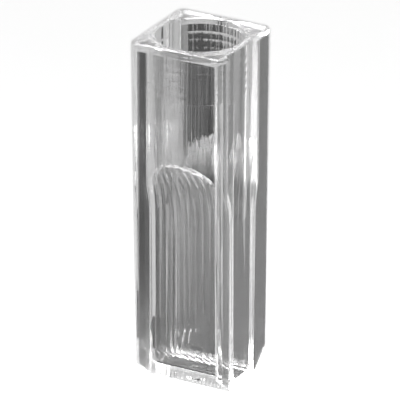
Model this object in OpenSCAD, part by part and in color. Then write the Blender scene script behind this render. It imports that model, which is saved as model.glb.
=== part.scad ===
// Semi-micro cuvette, injection moulded in clear polystyrene as one piece.
// Two window plates stand at -X and +X, and light passes between them along X.
// A round filling tube joins the plates at the top. Below it the body is pinched
// in Y to a narrow chamber, so that a small sample fills the whole light path.
// The origin is at the middle of the foot, and +Z is up.

/* [Body] */
// Width of the body at the rim, the same along X and Y
body_w = 12.5; // [12.2:0.1:15]
// Full height from the foot to the rim
body_h = 45; // [40:1:60]
// How much each outer side leans in from the rim down to the foot
side_draft = 0.25; // [0.1:0.05:0.4]
// Width taken off each upright outer corner, along X and along Y
corner_flat = 0.5; // [0.2:0.1:0.8]
// Chamfer round the outer edge of the rim
rim_chamfer = 0.15; // [0.1:0.05:0.3]

/* [Window plates] */
// Thickness of each plate at its free upright edges
plate_t = 0.95; // [0.8:0.05:1.2]
// Height of the slanted cut on each plate's lower corners
foot_cut_h = 2.7; // [1.5:0.1:4]
// How far that cut starts inside the chamber's side walls, which it chamfers
foot_chamfer = 0.25; // [0.1:0.05:0.4]

/* [Filling tube] */
// Thickness of the square rim flange
rim_t = 1.0; // [0.8:0.1:1.5]
// Inner diameter of the mouth
mouth_d = 10.8; // [10.6:0.1:11.2]
// Radius that rounds the edge of the mouth
mouth_edge_r = 0.2; // [0.1:0.05:0.3]
// Depth of the straight bore below the rim, which holds the grip rings
mouth_depth = 7; // [6.9:0.1:10]
// Inner diameter of the tube just below the straight bore
tube_top_d = 10.6; // [10.4:0.1:11]
// Inner diameter of the tube at its lower end
tube_end_d = 10.2; // [10.1:0.1:10.6]
// How far the outside of the tube stands back from the rim
tube_setback = 0.1; // [0.05:0.05:0.15]
// Radius that fills the groove between the tube and each plate
groove_r = 0.3; // [0.2:0.05:0.7]

/* [Grip rings] */
// Number of shallow ring grooves inside the mouth
ring_count = 5; // [1:1:6]
// Distance from one ring to the next
ring_pitch = 1.05; // [1:0.05:1.1]
// Height of each ring groove
ring_w = 0.95; // [0.6:0.05:0.95]
// Depth of each ring groove
ring_depth = 0.02; // [0.015:0.005:0.06]
// Distance from the rim down to the middle of the first ring
ring_start = 2.2; // [1.5:0.1:2.2]

/* [Measuring chamber] */
// Light path inside the chamber, along X
path_l = 10; // [9:0.1:10]
// Inner width of the chamber at its floor, along Y
chamber_w = 4.0; // [3:0.1:4.4]
// How much each inner side wall leans out from the floor to the shoulder
chamber_draft = 0.15; // [0.05:0.05:0.3]
// Radius along the two long edges of the chamber floor
chamber_r = 1; // [0.3:0.1:1.9]
// Thickness of the chamber's side walls at the floor
side_wall = 1.1; // [0.9:0.1:1.4]
// Thickness of the floor
floor_t = 1.1; // [0.9:0.05:2]
// Diameter of the shallow gate recess in the underside
gate_d = 2.2; // [1.6:0.1:4]
// Depth of the gate recess
gate_depth = 0.15; // [0.05:0.05:0.4]

/* [Shoulder] */
// Height at which the shoulder meets the outside of the tube
shoulder_top = 29.7; // [25:0.1:32]
// Radius that sweeps each recess out to the tube
shoulder_r = 12; // [8:0.5:14]
// Radius that fills each upright corner between the recess and a plate
recess_corner_r = 0.3; // [0.1:0.05:0.5]

/* [Flutes] */
// Number of upright flutes on each side of the chamber
flute_count = 10; // [6:1:12]
// Depth of each flute
flute_depth = 0.06; // [0.03:0.01:0.15]

/* [Hidden] */
$fn = 96;
over = 1;                                      // how far a cutter runs past what it cuts
over_angle = 10;                               // how far the turned cutter runs past the tube
half_w = body_w / 2;
tube_r = half_w - tube_setback;
plate_in = half_w - plate_t;                   // inner face of a plate at its free edges
draft_angle = atan(side_draft / body_h);
corner_angle = atan(sqrt(2) * side_draft / body_h);
recess_y = chamber_w / 2 + side_wall;          // floor of the recess in each Y side
sweep_y = recess_y + shoulder_r;               // line that the recess turns about
sweep_angle = acos((sweep_y - tube_r) / shoulder_r);
sweep_z = shoulder_top - shoulder_r * sin(sweep_angle);
chamber_top_y = chamber_w / 2 + chamber_draft; // half the chamber's width at sweep_z
mouth_r = mouth_d / 2;

// A slab outside one drafted plane of the body. The plane stands at distance d
// from the axis at the rim and leans in by angle below it.
module draft_slab(turn, d, angle) {
    rotate([0, 0, turn])
        translate([d, 0, body_h])
            rotate([0, angle, 0])
                translate([0, -body_w, -body_h - over])
                    cube([body_w, 2 * body_w, body_h + 2 * over]);
}

// A bar that chamfers the rim along one side at distance d from the axis
module rim_bar(turn, d) {
    rotate([0, 0, turn])
        translate([d, 0, body_h])
            rotate([0, 45, 0])
                cube([sqrt(2) * rim_chamfer, 2 * body_w, sqrt(2) * rim_chamfer], center = true);
}

// The square outer form, drafted on its four sides and four upright corners
module outer_block() {
    corner_d = (body_w - corner_flat) / sqrt(2);
    difference() {
        translate([-half_w, -half_w, 0])
            cube([body_w, body_w, body_h]);
        for (turn = [0 : 90 : 270]) {
            draft_slab(turn, half_w, draft_angle);
            draft_slab(turn + 45, corner_d, corner_angle);
            rim_bar(turn, half_w);
            rim_bar(turn + 45, corner_d);
        }
    }
}

// Section of the open space between the tube and the plates, on the +Y side.
// Each groove ends in a round bottom that touches both the tube and a plate.
module side_space_section() {
    centre_x = plate_in - groove_r;
    centre_y = sqrt(pow(tube_r + groove_r, 2) - pow(centre_x, 2));
    touch = tube_r / (tube_r + groove_r);
    difference() {
        translate([-plate_in, 0])
            square([2 * plate_in, half_w + over]);
        circle(r = tube_r);
        for (side = [-1, 1])
            difference() {
                polygon([
                    [0, 0],
                    [side * (plate_in + over), 0],
                    [side * (plate_in + over), centre_y],
                    [side * centre_x, centre_y],
                    [side * centre_x * touch, centre_y * touch]
                ]);
                translate([side * centre_x, centre_y])
                    circle(r = groove_r);
            }
    }
}

// Section of the fluted recess on the +Y side, between the plates.
// Its two corners are filled to a radius, and the flutes lie between them.
module recess_section() {
    corner_x = plate_in - recess_corner_r;
    corner_y = recess_y + recess_corner_r;
    pitch = 2 * corner_x / flute_count;
    flute_r = pitch * pitch / (8 * flute_depth) + flute_depth / 2;
    translate([-corner_x, recess_y])
        square([2 * corner_x, half_w - recess_y + over]);
    translate([-plate_in, corner_y])
        square([2 * plate_in, half_w - corner_y + over]);
    for (side = [-1, 1])
        translate([side * corner_x, corner_y])
            circle(r = recess_corner_r);
    for (i = [0 : flute_count - 1])
        intersection() {
            translate([-corner_x + i * pitch, recess_y - 2 * flute_depth])
                square([pitch, 3 * flute_depth]);
            translate([-corner_x + (i + 0.5) * pitch, recess_y + flute_r - flute_depth])
                circle(r = flute_r);
        }
}

// The recess: its section runs straight up the chamber, and then turns
// outwards about a line along X, which carries the flutes over the shoulder.
module recess() {
    translate([0, 0, -over])
        linear_extrude(height = sweep_z + over)
            recess_section();
    translate([0, sweep_y, sweep_z])
        rotate([90, 0, -90])
            rotate_extrude(angle = sweep_angle + over_angle)
                translate([sweep_y, 0])
                    rotate(90)
                        recess_section();
}

// Slanted cut under the plates' lower corners on the +Y side
module foot_cut() {
    start_y = recess_y - foot_chamfer;
    slope = foot_cut_h / (half_w - side_draft - start_y);
    translate([-half_w - over, 0, 0])
        rotate([90, 0, 90])
            linear_extrude(height = body_w + 2 * over)
                polygon([
                    [start_y - over, -slope * over],
                    [half_w + over, -slope * over],
                    [half_w + over, slope * (half_w + over - start_y)]
                ]);
}

// Side view of the hollow, as Y and Z: a narrow chamber that
// widens over the shoulder at an even wall thickness
module hollow_side() {
    half_floor = chamber_w / 2;
    polygon([
        [-half_floor, floor_t + chamber_r],
        [-half_floor + chamber_r, floor_t],
        [half_floor - chamber_r, floor_t],
        [half_floor, floor_t + chamber_r],
        [chamber_top_y, sweep_z],
        [-chamber_top_y, sweep_z]
    ]);
    for (side = [-1, 1])
        translate([side * (half_floor - chamber_r), floor_t + chamber_r])
            circle(r = chamber_r);
    difference() {
        translate([-half_w, sweep_z])
            square([body_w, body_h + over - sweep_z]);
        for (side = [-1, 1])
            translate([side * sweep_y, sweep_z])
                circle(r = sweep_y - chamber_top_y);
    }
}

// Extrudes a side view, as Y and Z, to a length along X, about the middle
module along_x(length) {
    translate([-length / 2, 0, 0])
        rotate([90, 0, 90])
            linear_extrude(height = length)
                children();
}

// Half section of the filling tube's bore, to the right of its axis: a rounded
// mouth, the straight bore with its grip rings, a small step and the taper
module bore_profile() {
    step_z = body_h - mouth_depth;
    edge_z = body_h - mouth_edge_r;
    ring_r = ring_w * ring_w / (8 * ring_depth) + ring_depth / 2;
    difference() {
        polygon([
            [0, sweep_z],
            [tube_end_d / 2, sweep_z],
            [tube_top_d / 2, step_z],
            [mouth_r, step_z],
            [mouth_r, edge_z],
            [mouth_r + mouth_edge_r, edge_z],
            [mouth_r + mouth_edge_r, body_h + over],
            [0, body_h + over]
        ]);
        translate([mouth_r + mouth_edge_r, edge_z])
            circle(r = mouth_edge_r);
    }
    for (i = [0 : ring_count - 1])
        translate([mouth_r, body_h - ring_start - i * ring_pitch])
            intersection() {
                translate([-ring_depth, -ring_w / 2])
                    square([3 * ring_depth, ring_w]);
                translate([ring_depth - ring_r, 0])
                    circle(r = ring_r);
            }
}

// Everything that is open inside: the tube down to the shoulder, and the
// chamber, whose flat windows run up until the round bore is wider than them
module hollow() {
    intersection() {
        rotate_extrude()
            bore_profile();
        along_x(body_w)
            hollow_side();
    }
    along_x(path_l)
        intersection() {
            hollow_side();
            translate([-chamber_top_y, 0])
                square([2 * chamber_top_y, body_h - mouth_depth]);
        }
}

module cuvette_body() {
    color([0.82, 0.84, 0.85, 0.5])
        difference() {
            outer_block();
            for (turn = [0, 180])
                rotate([0, 0, turn]) {
                    translate([0, 0, -over])
                        linear_extrude(height = body_h - rim_t + over)
                            side_space_section();
                    recess();
                    foot_cut();
                }
            hollow();
            translate([0, 0, -over])
                cylinder(d = gate_d, h = gate_depth + over);
        }
}

cuvette_body();
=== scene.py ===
import math

import bmesh
import bpy
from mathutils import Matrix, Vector
from mathutils.bvhtree import BVHTree
from mathutils.interpolate import poly_3d_calc


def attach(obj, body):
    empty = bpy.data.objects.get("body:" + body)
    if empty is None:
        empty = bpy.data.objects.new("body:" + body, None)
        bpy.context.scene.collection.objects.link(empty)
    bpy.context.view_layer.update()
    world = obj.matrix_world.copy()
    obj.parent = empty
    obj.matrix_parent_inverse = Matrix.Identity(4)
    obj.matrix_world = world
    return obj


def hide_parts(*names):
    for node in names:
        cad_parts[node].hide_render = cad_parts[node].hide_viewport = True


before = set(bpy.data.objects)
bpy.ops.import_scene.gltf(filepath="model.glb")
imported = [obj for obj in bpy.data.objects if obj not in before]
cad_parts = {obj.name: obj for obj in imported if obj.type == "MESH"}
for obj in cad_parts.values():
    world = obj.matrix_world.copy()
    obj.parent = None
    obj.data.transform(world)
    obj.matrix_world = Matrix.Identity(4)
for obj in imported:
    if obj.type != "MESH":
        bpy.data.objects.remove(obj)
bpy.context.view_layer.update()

MM = 0.001

# --- Sizes of the cuvette that the roundings follow ---
TUBE_R = 6.15 * MM          # outside of the filling tube
SWEEP_R = 12 * MM           # radius that carries each recess out to the tube
SWEEP_Y = 15.1 * MM         # line that this sweep turns about
SHOULDER_TOP = 29.7 * MM    # where the sweep meets the tube
GROOVE_X = 4.76 * MM        # where the tube meets the groove beside a window plate
WINDOW_X = 5 * MM           # inner face of each window
CHAMBER_TOP = 31 * MM       # above this the chamber is the round tube

# --- Roundings that the mould leaves ---
SHARP = math.radians(30)    # edges sharper than this are rounded
EDGE_R = 0.08 * MM
EDGE_STEPS = 2
CORNER_R = 0.25 * MM        # upright inner corners of the windows
CORNER_STEPS = 4
ARCH_R = 0.7 * MM           # curved edge where a recess meets the tube
ARCH_STEPS = 6
ARCH_STATIONS = 48
ARCH_LOW = 20 * MM          # both arches are above this
ARCH_SLACK = 0.03 * MM      # how far from the tube's round an arch's points may be
END_R = 0.02                # share of ARCH_R that is left at the ends of an arch
END_FADE = 8                # the higher it is, the nearer to its ends an arch keeps ARCH_R
CUT_MARGIN = 0.6 * MM       # how far the cutters reach outside the surface
TOUCHING = 0.001 * MM       # points as near as this are one point

# --- Shading that follows the exact surface ---
FLAT_FACES = math.radians(0.3)          # faces within this angle are joined before the bevels
SAME_SURFACE = 0.0005 * MM              # a face as near as this lies on the CAD surface,
SAME_WAY = 0.999                        # if it faces the same way too (cosine of the angle)
SMOOTH = math.cos(math.radians(50))     # faces within this angle blend into each other
INWARD = 0.05               # a corner is read this share of the way to its face's middle

# --- Camera ---
CAMERA_AZIMUTH = math.radians(28.72)
CAMERA_ELEVATION = math.radians(23.63)
CAMERA_DISTANCE = 800 * MM
BODY_MIDDLE = Vector((0, 0, 22.5 * MM))
AIM_POINT = Vector((-0.067 * MM, -0.037 * MM, 23.26 * MM))
LENS = 592                  # in millimetres, as SENSOR is
SENSOR = 36
CLIP_NEAR = 0.01            # in metres, as CLIP_FAR is
CLIP_FAR = 10

# --- Studio ---
KEY_POWER = 40
KEY_SIZE = 5 * MM
FLOOR_LAMP_TURN = math.radians(-70)     # turn from the camera
FLOOR_LAMP_REACH = 68 * MM  # from the cuvette to the spot on the floor that it lights
FLOOR_LAMP_DISTANCE = 300 * MM
FLOOR_LAMP_ELEVATION = math.radians(50)
FLOOR_LAMP_CONE = math.radians(20)
FLOOR_LAMP_SIZE = 10 * MM
FLOOR_LAMP_POWER = 13
FLOOR_LAMP_BLEND = 1        # the whole cone fades towards its edge
SOFTBOX_CORE = 0.35         # share of a softbox's reach that has its full level
SOFTBOXES = (
    # turn from the camera, elevation, reach, level
    (math.radians(-30), math.radians(40), math.radians(40), 50),
    (math.radians(-90), math.radians(25), math.radians(30), 12),
    (math.radians(-120), math.radians(50), math.radians(35), 4),
    (math.radians(60), math.radians(50), math.radians(35), 3),
)
WORLD_FILL = 0.12           # how much the white surroundings light the floor
WORLD_SEEN = 1.0            # how bright they are where the camera or the plastic shows them
WHITE = (1, 1, 1, 1)
FLOOR_SIZE = 3
FLOOR_DROP = 0.05 * MM      # keeps the floor clear of the foot
PAPER_COLOUR = (0.9, 0.9, 0.9, 1)
PAPER_ROUGHNESS = 1.0
PAPER_SHINE = 0.0
BOUNCES = 64
SURE_BOUNCES = 16           # a light path is never ended early before this many

# --- Clear plastic ---
# painted shade: a grey tint that darkens everything seen through the clear plastic
PAINTED_SHADE_TINT = (0.5, 0.5, 0.5, 1)
IOR = 1.49
CLEAR = 1.0                 # all the light that isn't reflected goes in
POLISHED_ROUGHNESS = 0.0
RIM_ROUGHNESS = 0.3
RIM_Z = 44.9 * MM           # the satin rim is above this,
RIM_FACES_UP = 0.7          # where the surface faces up by more than this
LINE_W = 0.3 * MM           # drawn lines down the moulded walls
LINE_LENGTH = 30 * MM
LINE_DEPTH = 0.06 * MM
LINE_DETAIL = 1
FLUTE_LINES = 0.25          # how strong the lines are on the fluted walls
FLUTE_TOP = (27 * MM, 31 * MM)          # between these heights they grow to full strength
WINDOW_FACING = (0.8, 0.9)  # they fade out between these as a wall turns to face the windows' way
LEVEL_FACING = (0.8, 0.95)  # and between these as it turns level


def towards(azimuth, elevation):
    return Vector((
        math.sin(azimuth) * math.cos(elevation),
        -math.cos(azimuth) * math.cos(elevation),
        math.sin(elevation),
    ))


def set_up(obj, where, target):
    obj.location = where
    obj.rotation_euler = (target - where).to_track_quat("-Z", "Y").to_euler()
    bpy.context.scene.collection.objects.link(obj)


def make_camera():
    data = bpy.data.cameras.new("camera")
    data.lens = LENS
    data.sensor_width = SENSOR
    data.clip_start = CLIP_NEAR
    data.clip_end = CLIP_FAR
    camera = bpy.data.objects.new("camera", data)
    where = BODY_MIDDLE + CAMERA_DISTANCE * towards(CAMERA_AZIMUTH, CAMERA_ELEVATION)
    set_up(camera, where, AIM_POINT)
    bpy.context.scene.camera = camera
    return where


def make_key(where):
    """One small lamp at the lens, so that the shadow falls behind the cuvette."""
    data = bpy.data.lights.new("key", "AREA")
    data.shape = "DISK"
    data.size = KEY_SIZE
    data.energy = KEY_POWER
    data.use_nodes = True
    nodes = data.node_tree.nodes
    even = nodes.new("ShaderNodeLightFalloff")
    even.inputs["Strength"].default_value = CAMERA_DISTANCE ** 2
    data.node_tree.links.new(even.outputs["Constant"], nodes["Emission"].inputs["Strength"])
    key = bpy.data.objects.new("key", data)
    set_up(key, where, BODY_MIDDLE)
    key.visible_camera = False


def make_floor_lamp():
    """A narrow lamp on the left, which lights the floor that the fluted walls reflect."""
    data = bpy.data.lights.new("floor_lamp", "SPOT")
    data.energy = FLOOR_LAMP_POWER
    data.spot_size = FLOOR_LAMP_CONE
    data.spot_blend = FLOOR_LAMP_BLEND
    data.shadow_soft_size = FLOOR_LAMP_SIZE
    azimuth = CAMERA_AZIMUTH + FLOOR_LAMP_TURN
    spot = FLOOR_LAMP_REACH * towards(azimuth, 0)
    lamp = bpy.data.objects.new("floor_lamp", data)
    set_up(lamp, spot + FLOOR_LAMP_DISTANCE * towards(azimuth, FLOOR_LAMP_ELEVATION), spot)
    lamp.visible_camera = False
    lamp.visible_glossy = False
    lamp.visible_transmission = False


def maths(tree, operation, *values):
    node = tree.nodes.new("ShaderNodeMath")
    node.operation = operation
    for socket, value in zip(node.inputs, values):
        if isinstance(value, bpy.types.NodeSocket):
            tree.links.new(value, socket)
        else:
            socket.default_value = value
    return node.outputs[0]


def map_range(tree, value, span, result, smooth=False):
    node = tree.nodes.new("ShaderNodeMapRange")
    node.interpolation_type = "SMOOTHSTEP" if smooth else "LINEAR"
    node.inputs["From Min"].default_value = span[0]
    node.inputs["From Max"].default_value = span[1]
    node.inputs["To Min"].default_value = result[0]
    node.inputs["To Max"].default_value = result[1]
    tree.links.new(value, node.inputs["Value"])
    return node.outputs["Result"]


def softbox(tree, ray, turn, elevation, reach, level):
    """A soft-edged patch of light in one direction of the studio."""
    nearness = tree.nodes.new("ShaderNodeVectorMath")
    nearness.operation = "DOT_PRODUCT"
    nearness.inputs[1].default_value = towards(CAMERA_AZIMUTH + turn, elevation)
    tree.links.new(ray, nearness.inputs[0])
    span = (math.cos(reach), math.cos(reach * SOFTBOX_CORE))
    return map_range(tree, nearness.outputs["Value"], span, (0, level), smooth=True)


def make_world():
    """White all round, with softboxes that the clear plastic shows."""
    world = bpy.data.worlds.new("studio")
    bpy.context.scene.world = world
    world.use_nodes = True
    tree = world.node_tree
    path = tree.nodes.new("ShaderNodeLightPath").outputs
    ray = tree.nodes.new("ShaderNodeTexCoord").outputs["Generated"]
    white = WORLD_SEEN - WORLD_FILL
    seen_in_plastic = white
    for turn, elevation, reach, level in SOFTBOXES:
        patch = softbox(tree, ray, turn, elevation, reach, level)
        seen_in_plastic = maths(tree, "ADD", patch, seen_in_plastic)
    in_plastic = maths(tree, "MAXIMUM", path["Is Glossy Ray"], path["Is Transmission Ray"])
    shown = maths(tree, "MULTIPLY", in_plastic, seen_in_plastic)
    behind = maths(tree, "MULTIPLY", path["Is Camera Ray"], white)
    total = maths(tree, "ADD", maths(tree, "ADD", shown, behind), WORLD_FILL)
    background = tree.nodes["Background"]
    background.inputs["Color"].default_value = WHITE
    tree.links.new(total, background.inputs["Strength"])


def make_floor():
    """Matt white paper, which carries the shadow."""
    bm = bmesh.new()
    bmesh.ops.create_grid(bm, x_segments=1, y_segments=1, size=FLOOR_SIZE / 2)
    bmesh.ops.translate(bm, verts=bm.verts, vec=(0, 0, -FLOOR_DROP))
    mesh = bpy.data.meshes.new("floor")
    bm.to_mesh(mesh)
    bm.free()
    floor = bpy.data.objects.new("floor", mesh)
    bpy.context.scene.collection.objects.link(floor)
    paper = bpy.data.materials.new("matt_paper")
    paper.use_nodes = True
    shader = paper.node_tree.nodes["Principled BSDF"]
    shader.inputs["Base Color"].default_value = PAPER_COLOUR
    shader.inputs["Roughness"].default_value = PAPER_ROUGHNESS
    shader.inputs["Specular IOR Level"].default_value = PAPER_SHINE
    mesh.materials.append(paper)


def drawn_lines(tree, place, facing, height):
    """Fine lines down the moulded walls. The windows and level faces are polished."""
    moulded = map_range(tree, maths(tree, "ABSOLUTE", facing["X"]), WINDOW_FACING, (1, 0))
    upright = map_range(tree, maths(tree, "ABSOLUTE", facing["Z"]), LEVEL_FACING, (1, 0))
    by_height = map_range(tree, height, FLUTE_TOP, (FLUTE_LINES, 1))
    strength = maths(tree, "MULTIPLY", maths(tree, "MULTIPLY", moulded, upright), by_height)
    scale = tree.nodes.new("ShaderNodeMapping")
    scale.inputs["Scale"].default_value = (1 / LINE_W, 1 / LINE_W, 1 / LINE_LENGTH)
    tree.links.new(place, scale.inputs["Vector"])
    lines = tree.nodes.new("ShaderNodeTexNoise")
    lines.inputs["Scale"].default_value = 1
    lines.inputs["Detail"].default_value = LINE_DETAIL
    tree.links.new(scale.outputs["Vector"], lines.inputs["Vector"])
    bump = tree.nodes.new("ShaderNodeBump")
    bump.inputs["Distance"].default_value = LINE_DEPTH
    tree.links.new(strength, bump.inputs["Strength"])
    tree.links.new(lines.outputs["Fac"], bump.inputs["Height"])
    return bump.outputs["Normal"]


def satin_rim(tree, facing, height):
    """Roughness: satin on the rim's upper face, polished everywhere else."""
    at_rim = maths(tree, "GREATER_THAN", height, RIM_Z)
    faces_up = maths(tree, "GREATER_THAN", facing["Z"], RIM_FACES_UP)
    rim = maths(tree, "MULTIPLY", at_rim, faces_up)
    return map_range(tree, rim, (0, 1), (POLISHED_ROUGHNESS, RIM_ROUGHNESS))


def make_clear_plastic():
    """Clear plastic: a grey tint that is painted shade on what shows through, lines down the
    moulded walls, polished windows and a satin rim.
    """
    plastic = bpy.data.materials.new("moulded_clear_plastic")
    plastic.use_nodes = True
    tree = plastic.node_tree
    shader = tree.nodes["Principled BSDF"]
    # the grey tint is painted shade on what shows through the plastic
    shader.inputs["Base Color"].default_value = PAINTED_SHADE_TINT
    shader.inputs["IOR"].default_value = IOR
    shader.inputs["Transmission Weight"].default_value = CLEAR
    coordinates = tree.nodes.new("ShaderNodeTexCoord").outputs
    facing = tree.nodes.new("ShaderNodeSeparateXYZ")
    tree.links.new(coordinates["Normal"], facing.inputs["Vector"])
    place = tree.nodes.new("ShaderNodeSeparateXYZ")
    tree.links.new(coordinates["Object"], place.inputs["Vector"])
    height = place.outputs["Z"]
    normal = drawn_lines(tree, coordinates["Object"], facing.outputs, height)
    tree.links.new(normal, shader.inputs["Normal"])
    tree.links.new(satin_rim(tree, facing.outputs, height), shader.inputs["Roughness"])
    return plastic


def arch_section(across, sweep_z):
    """What the rounding takes off the arch at one place, from -1 to 1 across it."""
    x = GROOVE_X * math.sin(across * math.pi / 2)
    y = math.sqrt(TUBE_R ** 2 - x ** 2)
    z = sweep_z + math.sqrt(SWEEP_R ** 2 - (SWEEP_Y - y) ** 2)
    edge = Vector((x, y, z))
    out_of_tube = Vector((x, y, 0)).normalized()
    out_of_sweep = Vector((0, SWEEP_Y - y, sweep_z - z)).normalized()
    radius = ARCH_R * max(END_R, 1 - abs(across) ** END_FADE)
    outward = out_of_tube + out_of_sweep
    centre = edge - outward * (radius / (1 + out_of_tube.dot(out_of_sweep)))
    section = [centre + out_of_tube * (radius + CUT_MARGIN)]
    for step in range(ARCH_STEPS + 1):
        section.append(centre + out_of_tube.slerp(out_of_sweep, step / ARCH_STEPS) * radius)
    section.append(centre + out_of_sweep * (radius + CUT_MARGIN))
    section.append(edge + outward * CUT_MARGIN)
    return section


def arch_cutter(side):
    """A curved bar that leaves the arch on this side rounded when it is cut away."""
    sweep_z = SHOULDER_TOP - math.sqrt(SWEEP_R ** 2 - (SWEEP_Y - TUBE_R) ** 2)
    bm = bmesh.new()
    rings = []
    for station in range(ARCH_STATIONS + 1):
        section = arch_section(2 * station / ARCH_STATIONS - 1, sweep_z)
        verts = [bm.verts.new((point.x, side * point.y, point.z)) for point in section]
        rings.append([bm.edges.new(pair) for pair in zip(verts, verts[1:] + verts[:1])])
    for near, far in zip(rings, rings[1:]):
        bmesh.ops.bridge_loops(bm, edges=near + far)
    bmesh.ops.edgeloop_fill(bm, edges=rings[0])
    bmesh.ops.edgeloop_fill(bm, edges=rings[-1])
    bmesh.ops.triangulate(bm, faces=bm.faces[:])
    bmesh.ops.recalc_face_normals(bm, faces=bm.faces[:])
    mesh = bpy.data.meshes.new("arch_cutter")
    bm.to_mesh(mesh)
    bm.free()
    cutter = bpy.data.objects.new("arch_cutter", mesh)
    bpy.context.scene.collection.objects.link(cutter)
    return cutter


def order_number(part, count):
    """A number that an edge or a face has to itself, made from its lowest points."""
    number = 0
    for index in sorted(vert.index for vert in part.verts)[:3]:
        number = number * count + index
    return number


def sort_parts(bm):
    bm.verts.index_update()
    count = len(bm.verts)
    bm.edges.sort(key=lambda edge: order_number(edge, count))
    bm.faces.sort(key=lambda face: order_number(face, count))


def make_triangles(bm):
    """Bevels, cuts and this leave parts in a chance order. Sorting makes each run the same."""
    sort_parts(bm)
    bmesh.ops.triangulate(bm, faces=bm.faces[:])
    sort_parts(bm)


def merge_cut_points(mesh):
    """A cut leaves points side by side, with slivers between them. Merging them drops both."""
    bm = bmesh.new()
    bm.from_mesh(mesh)
    bmesh.ops.remove_doubles(bm, verts=bm.verts, dist=TOUCHING)
    make_triangles(bm)
    bm.to_mesh(mesh)
    bm.free()


def round_arches(piece):
    cutters = [arch_cutter(-1), arch_cutter(1)]
    for cutter in cutters:
        cut = piece.modifiers.new("arch", "BOOLEAN")
        cut.object = cutter
        cut.operation = "DIFFERENCE"
        cut.solver = "MANIFOLD"
    depsgraph = bpy.context.evaluated_depsgraph_get()
    mesh = bpy.data.meshes.new_from_object(piece.evaluated_get(depsgraph))
    piece.modifiers.clear()
    piece.data = mesh
    merge_cut_points(mesh)
    for cutter in cutters:
        bpy.data.objects.remove(cutter)


def on_arch(edge):
    """Whether the edge is where a recess runs out on the tube."""
    for vert in edge.verts:
        if abs(math.hypot(vert.co.x, vert.co.y) - TUBE_R) > ARCH_SLACK:
            return False
        if not ARCH_LOW < vert.co.z < CHAMBER_TOP:
            return False
    return True


def on_window(edge):
    """Whether the edge is an upright inner corner of a window."""
    for vert in edge.verts:
        if abs(abs(vert.co.x) - WINDOW_X) > TOUCHING or vert.co.z > CHAMBER_TOP:
            return False
    return True


def sharp_edges(bm):
    return [edge for edge in bm.edges if edge.calc_face_angle(0) > SHARP and not on_arch(edge)]


def bevel(bm, edges, radius, steps):
    bmesh.ops.bevel(
        bm, geom=edges, offset=radius, offset_type="OFFSET", segments=steps,
        profile=0.5, affect="EDGES", clamp_overlap=True, material=-1,
    )


class ExactSurface:
    """The CAD surface, with the normals that it has at its own corners."""

    def __init__(self, cad):
        cad.calc_loop_triangles()
        self.verts = [vert.co.copy() for vert in cad.vertices]
        self.tris = [tuple(tri.vertices) for tri in cad.loop_triangles]
        self.loops = [tuple(tri.loops) for tri in cad.loop_triangles]
        self.normals = [Vector(normal.vector) for normal in cad.corner_normals]
        self.tree = BVHTree.FromPolygons(self.verts, self.tris)

    def holds(self, face):
        """Whether a face of the finished piece is still part of this surface."""
        _, normal, _, distance = self.tree.find_nearest(face.center)
        return distance < SAME_SURFACE and abs(normal.dot(face.normal)) > SAME_WAY

    def normal_at(self, point, face_centre):
        """The surface's normal at a face's corner, read just inside that face."""
        near = point.lerp(face_centre, INWARD)
        _, _, index, distance = self.tree.find_nearest(near)
        if index is None or distance > SAME_SURFACE:
            return None
        weights = poly_3d_calc([self.verts[vert] for vert in self.tris[index]], point)
        normal = Vector((0, 0, 0))
        for weight, loop in zip(weights, self.loops[index]):
            normal += self.normals[loop] * weight
        return normal.normalized()


def exact_normals(mesh, surface):
    """One normal for each corner of the mesh, and None where it is on a rounding."""
    normals = [None] * len(mesh.loops)
    for face in mesh.polygons:
        if surface.holds(face):
            for loop in face.loop_indices:
                point = mesh.vertices[mesh.loops[loop].vertex_index].co
                normals[loop] = surface.normal_at(point, face.center)
    return normals


def rounding_normal(facing, beside, corners):
    """The exact normal beside a corner of a rounding, or a blend of the faces that meet there."""
    nearest = max(beside, key=lambda normal: normal.dot(facing), default=None)
    if nearest is not None and nearest.dot(facing) > SMOOTH:
        return nearest
    blend = Vector((0, 0, 0))
    for other, area, _ in corners:
        if other.dot(facing) > SMOOTH:
            blend += other * area
    return blend.normalized()


def shade_as_cad(mesh, cad):
    """Faces that lie on the CAD surface are shaded as it, and the roundings blend between."""
    normals = exact_normals(mesh, ExactSurface(cad))
    exact = {}
    rounded = {}
    for face in mesh.polygons:
        face.use_smooth = True
        for loop in face.loop_indices:
            vert = mesh.loops[loop].vertex_index
            if normals[loop] is None:
                rounded.setdefault(vert, []).append((face.normal.copy(), face.area, loop))
            else:
                exact.setdefault(vert, []).append(normals[loop])
    for vert, corners in rounded.items():
        for facing, _, loop in corners:
            normals[loop] = rounding_normal(facing, exact.get(vert, []), corners)
    mesh.normals_split_custom_set(normals)


def make_body(plastic):
    """The moulding with its edges rounded, in place of the plain CAD solid."""
    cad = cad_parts["cuvette_body"]
    bm = bmesh.new()
    bm.from_mesh(cad.data)
    bmesh.ops.remove_doubles(bm, verts=bm.verts, dist=TOUCHING)
    bmesh.ops.dissolve_limit(bm, angle_limit=FLAT_FACES, verts=bm.verts, edges=bm.edges)
    bevel(bm, [edge for edge in sharp_edges(bm) if on_window(edge)], CORNER_R, CORNER_STEPS)
    bevel(bm, sharp_edges(bm), EDGE_R, EDGE_STEPS)
    make_triangles(bm)
    mesh = bpy.data.meshes.new("cuvette")
    bm.to_mesh(mesh)
    bm.free()
    piece = bpy.data.objects.new("cuvette", mesh)
    bpy.context.scene.collection.objects.link(piece)
    round_arches(piece)
    shade_as_cad(piece.data, cad.data)
    piece.data.materials.clear()
    piece.data.materials.append(plastic)
    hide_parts("cuvette_body")
    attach(piece, "root")


scene = bpy.context.scene
scene.view_settings.view_transform = "Standard"
scene.cycles.caustics_refractive = False
scene.cycles.max_bounces = BOUNCES
scene.cycles.glossy_bounces = BOUNCES
scene.cycles.transmission_bounces = BOUNCES
scene.cycles.min_light_bounces = SURE_BOUNCES
scene.cycles.denoising_input_passes = "RGB"

lens_place = make_camera()
make_world()
make_floor()
make_key(lens_place)
make_floor_lamp()
make_body(make_clear_plastic())
